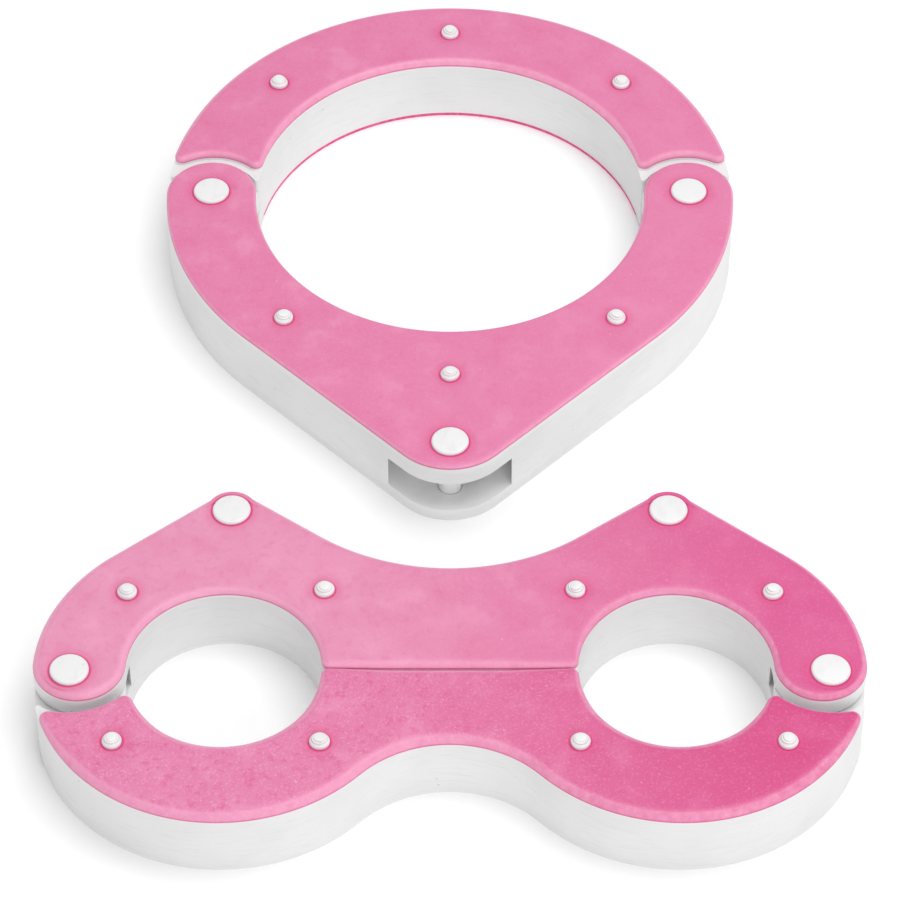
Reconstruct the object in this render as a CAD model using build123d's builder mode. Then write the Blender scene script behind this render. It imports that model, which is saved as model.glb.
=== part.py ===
from build123d import *
from math import atan2, degrees
import os

# A matched set of hinged rings: a collar ring and a double ring, both cut from the same board.
# Each ring is two halves, each half a white core with a coloured panel above and below.
# Millimetres.  +Z is up, z = 0 is the table, and +Y runs from the double ring to the collar.
# The origin is the middle of the set's footprint.

# Board, from the table up
BOARD = 25.0
TOP_PANEL = 3.0
BOTTOM_PANEL = 1.2
CORE_TOP = BOARD - TOP_PANEL
EDGE_ROUND = 2.2
SLOT_LOW = 8.0
SLOT_HIGH = 17.0
POCKET_LOW = 4.6
POCKET_HIGH = 16.7
TONGUE_PLAY = 0.35
TONGUE_INSET = 0.5

# Collar ring
COLLAR_HOLE_R = 65.0
COLLAR_OUTER_R = 94.8
COLLAR_MID_R = (COLLAR_HOLE_R + COLLAR_OUTER_R) / 2
COLLAR_EAR_R = (COLLAR_OUTER_R - COLLAR_HOLE_R) / 2
COLLAR_SHOULDER_R = 16.5
COLLAR_PANEL_SHOULDER_R = 18.8
COLLAR_SLOT_R = 16.2
TIP_R = 20.5
TIP_OFFSET = 104.8
APEX_OFFSET = 114.4
APEX_POCKET_HALF = 19.6
APEX_POCKET_DEPTH = 14.5
YOKE_RIVET_X = 54.0
YOKE_RIVET_Y = 59.5
YOKE_TIP_RIVET_Y = 85.0
ARCH_RIVET_ANGLES = (42.6, 90.0, 137.4)

# Double ring
CUFF_HOLE_R = 29.5
CUFF_OUTER_R = 57.4
CUFF_CENTRE_X = 68.0
CUFF_MID_R = (CUFF_HOLE_R + CUFF_OUTER_R) / 2
CUFF_EAR_R = (CUFF_OUTER_R - CUFF_HOLE_R) / 2
CUFF_EAR_Y = 1.7
CUFF_PIVOT_X = 114.1
CUFF_PIVOT_Y = -1.8
CUFF_SHOULDER_R = 18.5
CUFF_PANEL_SHOULDER_R = 24.0
CUFF_PANEL_SHOULDER_X = 114.4
CUFF_PANEL_SHOULDER_Y = 6.8
CUFF_SLOT_R = 19.0
HORN_X = 67.8
HORN_Y = 62.5
HORN_R = 8.6
HORN_POCKET_HALF = 14.0
HORN_POCKET_DEPTH = 11.5
REAR_NOTCH_Y = 40.0
REAR_NOTCH_R = 68.0
FRONT_NOTCH_Y = -28.4
SEAM_GAP = 0.4
REAR_RIVETS = ((98.4, 29.0), (38.3, 29.9))
FRONT_RIVETS = ((99.8, -29.0), (38.5, -29.2))

# The distance between the two rings, and the collar's place that centres the whole set
RING_SPACING = 206.0
COLLAR_Y = (RING_SPACING + CUFF_OUTER_R - COLLAR_OUTER_R) / 2
CUFF_Y = COLLAR_Y - RING_SPACING

# Pins and rivets
PIN_R = 3.8
PIN_HEAD_R = 6.0
PIN_HEAD = 1.0
PIN_HEAD_ROUND = 0.6
FIT = 0.05
RUNNING = 0.06
JAW_PLAY = 0.35
JAW_SWATH = 16.0
PLUG_R = 1.9
PLUG_DEPTH = 8.0
PLUG_END_GAP = 1.0
RETAINER_R = 6.0
RETAINER = 1.8
FLUSH = 0.2
RIVET_R = 3.1
RIVET_STEP_R = 2.1
RIVET_RIM = 0.7
RIVET_CONE = 1.9
RIVET_TOP = 2.4
RIVET_HOLE_R = 2.0
STUD_R = 1.2
STUD_HEAD_R = 1.8
STUD_LENGTH = 12.0
STUD_ROUND = 0.2

# Plan corners
PANEL_CORNER_R = 2.5
CORE_CORNER_R = 0.8
CORNER_TURN = 20.0
TOUCH = 1e-4
BIG = 400.0
STANDING = (Align.CENTER, Align.CENTER, Align.MIN)

os.makedirs("parts", exist_ok=True)

collar = Vector(0, COLLAR_Y)
cuff = Vector(0, CUFF_Y)
collar_hinge = collar + Vector(-COLLAR_MID_R, 0)
collar_lock = collar + Vector(COLLAR_MID_R, 0)
collar_anchor = collar + Vector(0, -APEX_OFFSET)
cuff_hinge = cuff + Vector(-CUFF_PIVOT_X, CUFF_PIVOT_Y)
cuff_lock = cuff + Vector(CUFF_PIVOT_X, CUFF_PIVOT_Y)
horns = [cuff + Vector(side * HORN_X, HORN_Y) for side in (-1, 1)]
lobes = [cuff + Vector(side * CUFF_CENTRE_X, 0) for side in (-1, 1)]
ear_x = CUFF_CENTRE_X + (CUFF_MID_R**2 - CUFF_EAR_Y**2) ** 0.5
cuff_ears = [cuff + Vector(side * ear_x, CUFF_EAR_Y) for side in (-1, 1)]
panel_shoulders = [
    cuff + Vector(side * CUFF_PANEL_SHOULDER_X, CUFF_PANEL_SHOULDER_Y) for side in (-1, 1)
]


def export(piece, label):
    piece.part.label = label
    export_step(piece.part, f"parts/{label}.step")


def tangent(centre_a, radius_a, centre_b, radius_b):
    """Ends of the line that touches two circles on the left of a to b; a negative radius crosses over."""
    run = centre_b - centre_a
    along = run.normalized()
    across = Vector(-along.Y, along.X)
    lean = (radius_a - radius_b) / run.length
    normal = along * lean + across * (1 - lean**2) ** 0.5
    return centre_a + normal * radius_a, centre_b + normal * radius_b


def arc_about(centre, radius, start, end):
    """The arc about centre from one point to another, counter-clockwise."""
    first = degrees(atan2(start.Y - centre.Y, start.X - centre.X))
    last = degrees(atan2(end.Y - centre.Y, end.X - centre.X))
    return CenterArc(centre, radius, first, (last - first) % 360)


def sharp_corners(plan):
    """The real corners of a plan, not its tangent joins, which a maker rounds by hand."""
    found = []
    for corner in plan.vertices():
        here = Vector(corner)
        turns = []
        for edge in plan.edges():
            if (edge.position_at(0) - here).length < TOUCH:
                turns.append(edge.tangent_at(0))
            elif (edge.position_at(1) - here).length < TOUCH:
                turns.append(edge.tangent_at(1))
        if CORNER_TURN < turns[0].get_angle(turns[1]) < 180 - CORNER_TURN:
            found.append(corner)
    return found


# ---------------------------------------------------------------- plans of the collar's halves

with BuildSketch() as yoke_plan:
    with Locations(collar):
        Circle(COLLAR_OUTER_R)
    with Locations(collar + Vector(0, -TIP_OFFSET)):
        Circle(TIP_R)
    make_hull()
    with Locations(collar):
        Rectangle(BIG, BIG, align=(Align.CENTER, Align.MIN), mode=Mode.SUBTRACT)
    with Locations(collar_hinge, collar_lock):
        Circle(COLLAR_EAR_R)
    with Locations(collar):
        Circle(COLLAR_HOLE_R, mode=Mode.SUBTRACT)


def arch_plan(shoulder_r, corner_r):
    with BuildSketch() as plan:
        with Locations(collar):
            Circle(COLLAR_OUTER_R)
            Circle(COLLAR_HOLE_R, mode=Mode.SUBTRACT)
            Rectangle(BIG, BIG, align=(Align.CENTER, Align.MAX), mode=Mode.SUBTRACT)
        with Locations(collar_hinge, collar_lock):
            Circle(shoulder_r, mode=Mode.SUBTRACT)
        fillet(sharp_corners(plan), corner_r)
    return plan.sketch


with BuildSketch() as arch_tongue_plan:
    with Locations(collar):
        Circle(COLLAR_OUTER_R - TONGUE_INSET)
        Circle(COLLAR_HOLE_R + TONGUE_INSET, mode=Mode.SUBTRACT)
        Rectangle(BIG, BIG, align=(Align.CENTER, Align.MAX), mode=Mode.SUBTRACT)
    with Locations(collar_hinge, collar_lock):
        Circle(COLLAR_EAR_R - TONGUE_INSET)


# ---------------------------------------------------------------- plans of the double ring's halves

# The right-hand outline of the rear half, from the notch round the horn to the ear; the left is its mirror
notch = cuff + Vector(0, REAR_NOTCH_Y + REAR_NOTCH_R)
notch_middle = cuff + Vector(0, REAR_NOTCH_Y)
notch_end, horn_start = tangent(notch, -REAR_NOTCH_R, horns[1], HORN_R)
horn_end, lobe_start = tangent(horns[1], HORN_R, lobes[1], CUFF_OUTER_R)
ear_outside = lobes[1] + (cuff_ears[1] - lobes[1]).normalized() * CUFF_OUTER_R

# The front notch is the circle that touches both lobes
reach_squared = CUFF_CENTRE_X**2 + FRONT_NOTCH_Y**2
front_notch_r = (reach_squared - CUFF_OUTER_R**2) / (2 * (CUFF_OUTER_R + FRONT_NOTCH_Y))
front_middle = cuff + Vector(0, FRONT_NOTCH_Y)
front_notch = cuff + Vector(0, FRONT_NOTCH_Y - front_notch_r)
front_touch = lobes[1] + (front_notch - lobes[1]).normalized() * CUFF_OUTER_R
lobe_outside = lobes[1] + Vector(CUFF_OUTER_R, 0)


def rear_plan(corner_r):
    with BuildSketch() as plan:
        with BuildLine():
            arc_about(notch, REAR_NOTCH_R, notch_middle, notch_end)
            Line(notch_end, horn_start)
            RadiusArc(horn_start, horn_end, HORN_R)
            Line(horn_end, lobe_start)
            RadiusArc(lobe_start, ear_outside, CUFF_OUTER_R)
            Line(ear_outside, lobes[1])
            Line(lobes[1], cuff)
            mirror(about=Plane.YZ)
        make_face()
        with Locations(cuff_ears):
            Circle(CUFF_EAR_R)
        with Locations(lobes):
            Circle(CUFF_HOLE_R, mode=Mode.SUBTRACT)
        with Locations(cuff + Vector(0, SEAM_GAP / 2)):
            Rectangle(2 * CUFF_CENTRE_X, BIG, align=(Align.CENTER, Align.MAX), mode=Mode.SUBTRACT)
        fillet(sharp_corners(plan), corner_r)
    return plan.sketch


def front_plan(shoulder_centres, shoulder_r, corner_r):
    with BuildSketch() as plan:
        with BuildLine():
            RadiusArc(front_middle, front_touch, front_notch_r)
            arc_about(lobes[1], CUFF_OUTER_R, front_touch, lobe_outside)
            Line(lobe_outside, cuff)
            mirror(about=Plane.YZ)
        make_face()
        with Locations(lobes):
            Circle(CUFF_HOLE_R, mode=Mode.SUBTRACT)
        with Locations(shoulder_centres):
            Circle(shoulder_r, mode=Mode.SUBTRACT)
        with Locations(cuff + Vector(0, -SEAM_GAP / 2)):
            Rectangle(BIG, BIG, align=(Align.CENTER, Align.MIN), mode=Mode.SUBTRACT)
        fillet(sharp_corners(plan), corner_r)
    return plan.sketch


ear_lean = degrees(atan2(CUFF_EAR_Y, ear_x - CUFF_CENTRE_X))
with BuildSketch() as front_tongue_plan:
    for side, lobe in zip((-1, 1), lobes):
        with BuildSketch(mode=Mode.PRIVATE) as half_ring:
            with Locations(lobe):
                Circle(CUFF_OUTER_R - TONGUE_INSET)
                Circle(CUFF_HOLE_R + TONGUE_INSET, mode=Mode.SUBTRACT)
                above = (Align.CENTER, Align.MIN)
                Rectangle(BIG, BIG, rotation=side * ear_lean, align=above, mode=Mode.SUBTRACT)
            with Locations(cuff):
                Rectangle(2 * CUFF_CENTRE_X, BIG, mode=Mode.SUBTRACT)
        add(half_ring.sketch)
    with Locations(cuff_ears):
        Circle(CUFF_EAR_R - TONGUE_INSET)


# ---------------------------------------------------------------- shared features

def jaw_plan(lock, hinge, mouth):
    """The open jaw of a tongue: it slides on and off the lock pin along the arc that the hinge gives."""
    swing = (lock - hinge).length
    half = PIN_R + JAW_PLAY
    with BuildSketch() as plan:
        with Locations(hinge):
            Circle(swing + half)
            Circle(swing - half, mode=Mode.SUBTRACT)
        with Locations(lock):
            Rectangle(JAW_SWATH, COLLAR_OUTER_R, align=(Align.CENTER, mouth), mode=Mode.INTERSECT)
            Circle(half)
    return plan.sketch


def through_holes(places, radius):
    with Locations([Vector(place.X, place.Y, BOARD) for place in places]):
        Hole(radius, depth=BOARD)


def retainer_recesses(places):
    """Where a retainer's disc sits flush in the underside."""
    with Locations([Vector(place.X, place.Y, 0) for place in places]):
        Cylinder(RETAINER_R, RETAINER + FLUSH, align=STANDING, mode=Mode.SUBTRACT)


collar_pins = [collar_hinge, collar_lock, collar_anchor]
cuff_pins = [cuff_hinge, cuff_lock, *horns]
yoke_rivets = [collar + Vector(side * YOKE_RIVET_X, -YOKE_RIVET_Y) for side in (-1, 1)]
yoke_rivets.append(collar + Vector(0, -YOKE_TIP_RIVET_Y))
arch_rivets = [collar + Vector(COLLAR_MID_R, 0).rotate(Axis.Z, angle) for angle in ARCH_RIVET_ANGLES]
rear_rivets = [cuff + Vector(side * x, y) for side in (-1, 1) for x, y in REAR_RIVETS]
front_rivets = [cuff + Vector(side * x, y) for side in (-1, 1) for x, y in FRONT_RIVETS]


# ---------------------------------------------------------------- collar: the yoke, the front half

with BuildPart() as yoke_core:
    with BuildSketch(Plane.XY.offset(BOTTOM_PANEL)):
        add(yoke_plan.sketch)
    extrude(amount=CORE_TOP - BOTTOM_PANEL)
    with BuildSketch(Plane.XY.offset(SLOT_LOW)):
        with Locations(collar_hinge, collar_lock):
            Circle(COLLAR_SLOT_R)
    extrude(amount=SLOT_HIGH - SLOT_LOW, mode=Mode.SUBTRACT)
    with BuildSketch(Plane.XY.offset(POCKET_LOW)):
        with Locations(collar_anchor + Vector(0, APEX_POCKET_DEPTH)):
            Rectangle(2 * APEX_POCKET_HALF, COLLAR_OUTER_R, align=(Align.CENTER, Align.MAX))
    extrude(amount=POCKET_HIGH - POCKET_LOW, mode=Mode.SUBTRACT)
    through_holes(collar_pins, PIN_R + FIT)
    through_holes(yoke_rivets, RIVET_HOLE_R)
    retainer_recesses(collar_pins)
export(yoke_core, "yoke_core")


def top_panel(plan, pins, rivets):
    """A coloured panel with its rim rounded over all the way round, drilled for what passes through it."""
    with BuildPart() as panel:
        with BuildSketch(Plane.XY.offset(CORE_TOP)):
            add(plan)
        extrude(amount=TOP_PANEL)
        fillet(panel.faces().sort_by(Axis.Z)[-1].edges(), EDGE_ROUND)
        if pins:
            through_holes(pins, PIN_R + FIT)
        through_holes(rivets, RIVET_HOLE_R)
    return panel


def bottom_panel(plan, pins, rivets):
    with BuildPart() as panel:
        with BuildSketch():
            add(plan)
        extrude(amount=BOTTOM_PANEL)
        if pins:
            retainer_recesses(pins)
        through_holes(rivets, RIVET_HOLE_R)
    return panel


export(top_panel(yoke_plan.sketch, collar_pins, yoke_rivets), "yoke_top_panel")
export(bottom_panel(yoke_plan.sketch, collar_pins, yoke_rivets), "yoke_bottom_panel")


# ---------------------------------------------------------------- collar: the arch, the rear half

with BuildPart() as arch_core:
    with BuildSketch(Plane.XY.offset(BOTTOM_PANEL)):
        add(arch_plan(COLLAR_SHOULDER_R, CORE_CORNER_R))
    extrude(amount=CORE_TOP - BOTTOM_PANEL)
    with BuildSketch(Plane.XY.offset(SLOT_LOW + TONGUE_PLAY)):
        add(arch_tongue_plan.sketch)
        with Locations(collar_hinge):
            Circle(PIN_R + RUNNING, mode=Mode.SUBTRACT)
        add(jaw_plan(collar_lock, collar_hinge, Align.MAX), mode=Mode.SUBTRACT)
    extrude(amount=SLOT_HIGH - SLOT_LOW - 2 * TONGUE_PLAY)
    through_holes(arch_rivets, RIVET_HOLE_R)
export(arch_core, "arch_core")

arch_panel_plan = arch_plan(COLLAR_PANEL_SHOULDER_R, PANEL_CORNER_R)
export(top_panel(arch_panel_plan, [], arch_rivets), "arch_top_panel")
export(bottom_panel(arch_panel_plan, [], arch_rivets), "arch_bottom_panel")


# ---------------------------------------------------------------- double ring: the rear half, with the horns

with BuildPart() as cuff_rear_core:
    with BuildSketch(Plane.XY.offset(BOTTOM_PANEL)):
        add(rear_plan(CORE_CORNER_R))
    extrude(amount=CORE_TOP - BOTTOM_PANEL)
    with BuildSketch(Plane.XY.offset(SLOT_LOW)):
        with Locations(cuff_hinge, cuff_lock):
            Circle(CUFF_SLOT_R)
    extrude(amount=SLOT_HIGH - SLOT_LOW, mode=Mode.SUBTRACT)
    with BuildSketch(Plane.XY.offset(POCKET_LOW)):
        with Locations([horn + Vector(0, -HORN_POCKET_DEPTH) for horn in horns]):
            Rectangle(2 * HORN_POCKET_HALF, CUFF_OUTER_R, align=(Align.CENTER, Align.MIN))
    extrude(amount=POCKET_HIGH - POCKET_LOW, mode=Mode.SUBTRACT)
    through_holes(cuff_pins, PIN_R + FIT)
    through_holes(rear_rivets, RIVET_HOLE_R)
    retainer_recesses(cuff_pins)
export(cuff_rear_core, "cuff_rear_core")

rear_panel_plan = rear_plan(PANEL_CORNER_R)
export(top_panel(rear_panel_plan, cuff_pins, rear_rivets), "cuff_rear_top_panel")
export(bottom_panel(rear_panel_plan, cuff_pins, rear_rivets), "cuff_rear_bottom_panel")


# ---------------------------------------------------------------- double ring: the front half

with BuildPart() as cuff_front_core:
    with BuildSketch(Plane.XY.offset(BOTTOM_PANEL)):
        add(front_plan(cuff_ears, CUFF_SHOULDER_R, CORE_CORNER_R))
    extrude(amount=CORE_TOP - BOTTOM_PANEL)
    with BuildSketch(Plane.XY.offset(SLOT_LOW + TONGUE_PLAY)):
        add(front_tongue_plan.sketch)
        with Locations(cuff_hinge):
            Circle(PIN_R + RUNNING, mode=Mode.SUBTRACT)
        add(jaw_plan(cuff_lock, cuff_hinge, Align.MIN), mode=Mode.SUBTRACT)
    extrude(amount=SLOT_HIGH - SLOT_LOW - 2 * TONGUE_PLAY)
    through_holes(front_rivets, RIVET_HOLE_R)
export(cuff_front_core, "cuff_front_core")

front_panel_plan = front_plan(panel_shoulders, CUFF_PANEL_SHOULDER_R, PANEL_CORNER_R)
export(top_panel(front_panel_plan, [], front_rivets), "cuff_front_top_panel")
export(bottom_panel(front_panel_plan, [], front_rivets), "cuff_front_bottom_panel")


# ---------------------------------------------------------------- pins, made once and set in place

with BuildPart() as pin:
    with Locations((0, 0, RETAINER + FLUSH)):
        Cylinder(PIN_R, BOARD - RETAINER - FLUSH, align=STANDING)
    with Locations((0, 0, BOARD)):
        Cylinder(PIN_HEAD_R, PIN_HEAD, align=STANDING)
    fillet(pin.faces().sort_by(Axis.Z)[-1].edges(), PIN_HEAD_ROUND)
    with Locations((0, 0, RETAINER + FLUSH)):
        Cylinder(PLUG_R, PLUG_DEPTH, align=STANDING, mode=Mode.SUBTRACT)

with BuildPart() as retainer:
    with Locations((0, 0, FLUSH)):
        Cylinder(RETAINER_R - FIT, RETAINER, align=STANDING)
        Cylinder(PLUG_R - FIT, RETAINER + PLUG_DEPTH - PLUG_END_GAP, align=STANDING)

pin_places = {
    "collar_hinge_pin": collar_hinge,
    "collar_lock_pin": collar_lock,
    "collar_anchor_pin": collar_anchor,
    "cuff_hinge_pin": cuff_hinge,
    "cuff_lock_pin": cuff_lock,
    "cuff_anchor_pin_left": horns[0],
    "cuff_anchor_pin_right": horns[1],
}
for name, place in pin_places.items():
    with BuildPart() as placed_pin:
        with Locations(place):
            add(pin.part)
    export(placed_pin, name)

for name, places in (("collar_pin_retainers", collar_pins), ("cuff_pin_retainers", cuff_pins)):
    with BuildPart() as placed_retainers:
        with Locations(places):
            add(retainer.part)
    export(placed_retainers, name)


# ---------------------------------------------------------------- two-piece rivets: a stepped bush and its stud

with BuildPart() as bush:
    with BuildSketch(Plane.XZ):
        with BuildLine():
            Polyline(
                (STUD_R + FIT, FLUSH),
                (RIVET_HOLE_R - FIT, FLUSH),
                (RIVET_HOLE_R - FIT, BOARD),
                (RIVET_R, BOARD),
                (RIVET_R, BOARD + RIVET_RIM),
                (RIVET_STEP_R, BOARD + RIVET_CONE),
                (STUD_R + FIT, BOARD + RIVET_CONE),
                close=True,
            )
        make_face()
    revolve(axis=Axis.Z)

with BuildPart() as stud:
    with Locations((0, 0, BOARD - STUD_LENGTH)):
        Cylinder(STUD_R, STUD_LENGTH + RIVET_CONE, align=STANDING)
    with Locations((0, 0, BOARD + RIVET_CONE)):
        Cylinder(STUD_HEAD_R, RIVET_TOP - RIVET_CONE, align=STANDING)
    fillet(stud.faces().sort_by(Axis.Z)[-1].edges(), STUD_ROUND)

rivet_places = {"yoke": yoke_rivets, "arch": arch_rivets, "cuff_rear": rear_rivets, "cuff_front": front_rivets}
for half, places in rivet_places.items():
    for piece, made in (("rivet_bushes", bush), ("rivet_studs", stud)):
        with BuildPart() as placed_rivets:
            with Locations(places):
                add(made.part)
        export(placed_rivets, f"{half}_{piece}")
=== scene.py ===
# %% [markdown]
# # A hinged ring set
# This lesson dresses a packed CAD model for a catalogue picture. The set is a collar ring and a double ring.
# Both are sawn from one white board, faced with pink sheet, and joined by white moulded pins and rivets.
# The packed model is a fixed frame: it says where everything is, and nothing in it moves or changes size.
# So the frame is loaded first, and every place below is read from it.

# %% Load the frame
import math
import random

import bmesh
import bpy
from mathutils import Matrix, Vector


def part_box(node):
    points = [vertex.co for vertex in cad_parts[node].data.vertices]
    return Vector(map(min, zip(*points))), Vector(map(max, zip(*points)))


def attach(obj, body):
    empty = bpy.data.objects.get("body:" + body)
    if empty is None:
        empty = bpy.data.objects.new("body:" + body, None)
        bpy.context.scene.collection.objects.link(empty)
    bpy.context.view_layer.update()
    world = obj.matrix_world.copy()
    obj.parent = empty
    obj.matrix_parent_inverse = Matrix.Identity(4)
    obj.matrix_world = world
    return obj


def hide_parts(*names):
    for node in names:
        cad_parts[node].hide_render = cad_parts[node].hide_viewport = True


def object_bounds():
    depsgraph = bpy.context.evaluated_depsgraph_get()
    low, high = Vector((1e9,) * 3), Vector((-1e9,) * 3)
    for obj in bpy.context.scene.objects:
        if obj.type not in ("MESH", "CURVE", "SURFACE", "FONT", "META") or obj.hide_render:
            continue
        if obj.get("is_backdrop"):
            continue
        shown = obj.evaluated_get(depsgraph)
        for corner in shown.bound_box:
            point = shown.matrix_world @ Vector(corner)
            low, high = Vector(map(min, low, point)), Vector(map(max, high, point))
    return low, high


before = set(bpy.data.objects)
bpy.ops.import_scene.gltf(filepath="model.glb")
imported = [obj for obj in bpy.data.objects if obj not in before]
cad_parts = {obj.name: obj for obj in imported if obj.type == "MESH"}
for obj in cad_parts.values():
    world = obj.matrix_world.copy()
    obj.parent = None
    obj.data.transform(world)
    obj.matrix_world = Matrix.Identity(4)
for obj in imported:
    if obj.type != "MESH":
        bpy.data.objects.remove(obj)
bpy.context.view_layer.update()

MM = 0.001

# %% [markdown]
# A catalogue picture of flat rings wants a fairly long lens from above, so that both rings keep nearly the
# same scale. The camera is placed from the middle of the collar's hole: so far in front and so far above.

# %% Camera
arch_low, arch_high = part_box("arch_top_panel")
yoke_low, yoke_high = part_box("yoke_top_panel")
BOARD_TOP = yoke_high.z
collar_centre = Vector((0, arch_high.y - yoke_high.x, BOARD_TOP))
CAMERA_BACK = 973.1 * MM
CAMERA_UP = 924.4 * MM
CAMERA_TILT = math.radians(47.23)
LENS = 160.0

camera_data = bpy.data.cameras.new("camera")
camera_data.lens = LENS
camera = bpy.data.objects.new("camera", camera_data)
camera.location = collar_centre + Vector((0, -CAMERA_BACK, CAMERA_UP))
camera.rotation_euler = (math.pi / 2 - CAMERA_TILT, 0, 0)
bpy.context.scene.collection.objects.link(camera)
bpy.context.scene.camera = camera
print("collar centre in mm:", [round(c / MM, 1) for c in collar_centre])

# %% [markdown]
# Catalogue white is a lit white table, not an empty background: it throws light back up into the white
# walls. The table curves up far behind the set, so no horizon shows. The plain view transform keeps the
# colours as they are mixed, where a filmic one would grey the table and fade the pink.

# %% Table
TABLE_HALF = 3.0
SWEEP_RADIUS = 1.0
SWEEP_STEPS = 32


def table_sheet():
    lines = [(-TABLE_HALF, 0.0)]
    for step in range(SWEEP_STEPS + 1):
        turn = math.pi / 2 * step / SWEEP_STEPS
        lines.append((TABLE_HALF + SWEEP_RADIUS * math.sin(turn), SWEEP_RADIUS * (1 - math.cos(turn))))
    lines.append((TABLE_HALF + SWEEP_RADIUS, TABLE_HALF))
    sheet = bmesh.new()
    rows = [[sheet.verts.new((x, y, z)) for x in (-2 * TABLE_HALF, 2 * TABLE_HALF)] for y, z in lines]
    for near, far in zip(rows, rows[1:]):
        sheet.faces.new((near[0], near[1], far[1], far[0])).smooth = True
    mesh = bpy.data.meshes.new("table")
    sheet.to_mesh(mesh)
    sheet.free()
    return bpy.data.objects.new("table", mesh)


table = table_sheet()
bpy.context.scene.collection.objects.link(table)
table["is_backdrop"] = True
bpy.context.scene.view_settings.view_transform = "Standard"
print("the table has", len(table.data.polygons), "faces")


# %% [markdown]
# Two soft boxes and a pale room light the set. The large one hangs overhead and gives the table its white.
# The second stands in front: it catches the rounded rims, which then show as paler bands.

# %% Light
def soft_box(name, place, size, watts):
    light = bpy.data.lights.new(name, "AREA")
    light.shape = "RECTANGLE"
    light.size, light.size_y = size
    light.energy = watts
    lamp = bpy.data.objects.new(name, light)
    lamp.location = place
    lamp.rotation_euler = (-Vector(place)).to_track_quat("-Z", "Y").to_euler()
    bpy.context.scene.collection.objects.link(lamp)
    print(name, "stands", round(Vector(place).length, 2), "m from the set")


ROOM_STRENGTH = 0.62
soft_box("overhead_box", place=(0.25, 0.1, 1.3), size=(1.0, 1.0), watts=9.5)
soft_box("front_box", place=(0.5, -1.25, 0.75), size=(1.0, 0.5), watts=5.5)
room = bpy.data.worlds.new("room")
room.use_nodes = True
room.node_tree.nodes["Background"].inputs["Color"].default_value = (1, 1, 1, 1)
room.node_tree.nodes["Background"].inputs["Strength"].default_value = ROOM_STRENGTH
bpy.context.scene.world = room


# %% [markdown]
# Every finish here is mixed from nodes. Wiring them one by one hides the idea, so a small class wraps a
# socket, and plain arithmetic on it adds the Math nodes: `1 - rim * 0.5` reads like the recipe it is.
# The second operand can be a plain number or another wire, so both kinds of expression look alike.

# %% Shader arithmetic
class Wire:
    """A number, colour or vector that runs through a finish's nodes."""

    def __init__(self, finish, socket):
        self.finish = finish
        self.socket = socket

    def math(self, operation, *values):
        return self.finish.node("Math", {"operation": operation}, dict(enumerate(values)))

    def __add__(self, other):
        return self.math("ADD", self, other)

    def __radd__(self, other):
        return self.math("ADD", other, self)

    def __sub__(self, other):
        return self.math("SUBTRACT", self, other)

    def __rsub__(self, other):
        return self.math("SUBTRACT", other, self)

    def __mul__(self, other):
        return self.math("MULTIPLY", self, other)

    def __rmul__(self, other):
        return self.math("MULTIPLY", other, self)

    def __truediv__(self, other):
        return self.math("DIVIDE", self, other)

    def __rtruediv__(self, other):
        return self.math("DIVIDE", other, self)

    def least(self, other):
        return self.math("MINIMUM", self, other)

    def ramp(self, start, end):
        """0 at start and 1 at end, with soft ends; start may be the larger."""
        low, high = (start, end) if start < end else (end, start)
        ends = {"From Min": low, "From Max": high, "To Min": float(start > end), "To Max": float(start < end)}
        return self.finish.node("MapRange", {"interpolation_type": "SMOOTHSTEP"}, {"Value": self, **ends})


print("a wire can:", [name.strip("_") for name, part in vars(Wire).items() if callable(part)])


# %% [markdown]
# A finish is a material with one Principled shader, and one method that adds any other node. The rest are
# short names for what the recipes below need most: a noise of a given size in millimetres, scattered
# spots, a mix of two colours and a relief. The sizes are real, so a finish looks right on any piece.

# %% A finish
FIRST_COLOUR, SECOND_COLOUR, MIXED_COLOUR = 6, 7, 2
SPOT_CORE = 1 / 3


class Finish:
    """A material, its Principled shader and the nodes that feed it."""

    def __init__(self, name, roughness, gloss=0.5):
        self.material = bpy.data.materials.new(name)
        self.material.use_nodes = True
        self.tree = self.material.node_tree
        self.shader = self.tree.nodes["Principled BSDF"]
        self.shader.inputs["Roughness"].default_value = roughness
        self.shader.inputs["Specular IOR Level"].default_value = gloss

    def node(self, kind, settings=None, sockets=None, output=0):
        made = self.tree.nodes.new("ShaderNode" + kind)
        for setting, value in (settings or {}).items():
            setattr(made, setting, value)
        for place, value in (sockets or {}).items():
            self.plug(made.inputs[place], value)
        return Wire(self, made.outputs[output])

    def plug(self, socket, value):
        if isinstance(value, Wire):
            self.tree.links.new(value.socket, socket)
        else:
            socket.default_value = value

    def feed(self, socket, value):
        self.plug(self.shader.inputs[socket], value)

    def place(self):
        """The point on the piece, in metres, in the frame that every piece shares."""
        return self.node("TexCoord", output="Object")

    def mix(self, share, first, second):
        """Colours, from first at 0 to second at 1."""
        parts = {"Factor": share, FIRST_COLOUR: colour(first), SECOND_COLOUR: colour(second)}
        return self.node("Mix", {"data_type": "RGBA"}, parts, output=MIXED_COLOUR)

    def noise(self, size, detail=2.0, stretch=None):
        """Cloudy noise about 0.5 whose blots are that size in mm."""
        where = self.place()
        if stretch:
            where = self.node("VectorMath", {"operation": "MULTIPLY"}, {0: where, 1: stretch})
        return self.node("TexNoise", None, {"Vector": where, "Scale": 1 / (size * MM), "Detail": detail})

    def spots(self, size, spread):
        """1 in scattered dots of that size in mm, so far apart, and 0 elsewhere."""
        sockets = {"Vector": self.place(), "Scale": 1 / (spread * MM)}
        away = self.node("TexVoronoi", None, sockets, output="Distance")
        return away.ramp(size / spread, size / spread * SPOT_CORE)

    def relief(self, height, depth):
        """Small unevenness: height from 0 to 1, depth in mm."""
        normal = self.node("Bump", None, {"Height": height, "Distance": depth * MM, "Strength": 1.0})
        self.feed("Normal", normal)


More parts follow.
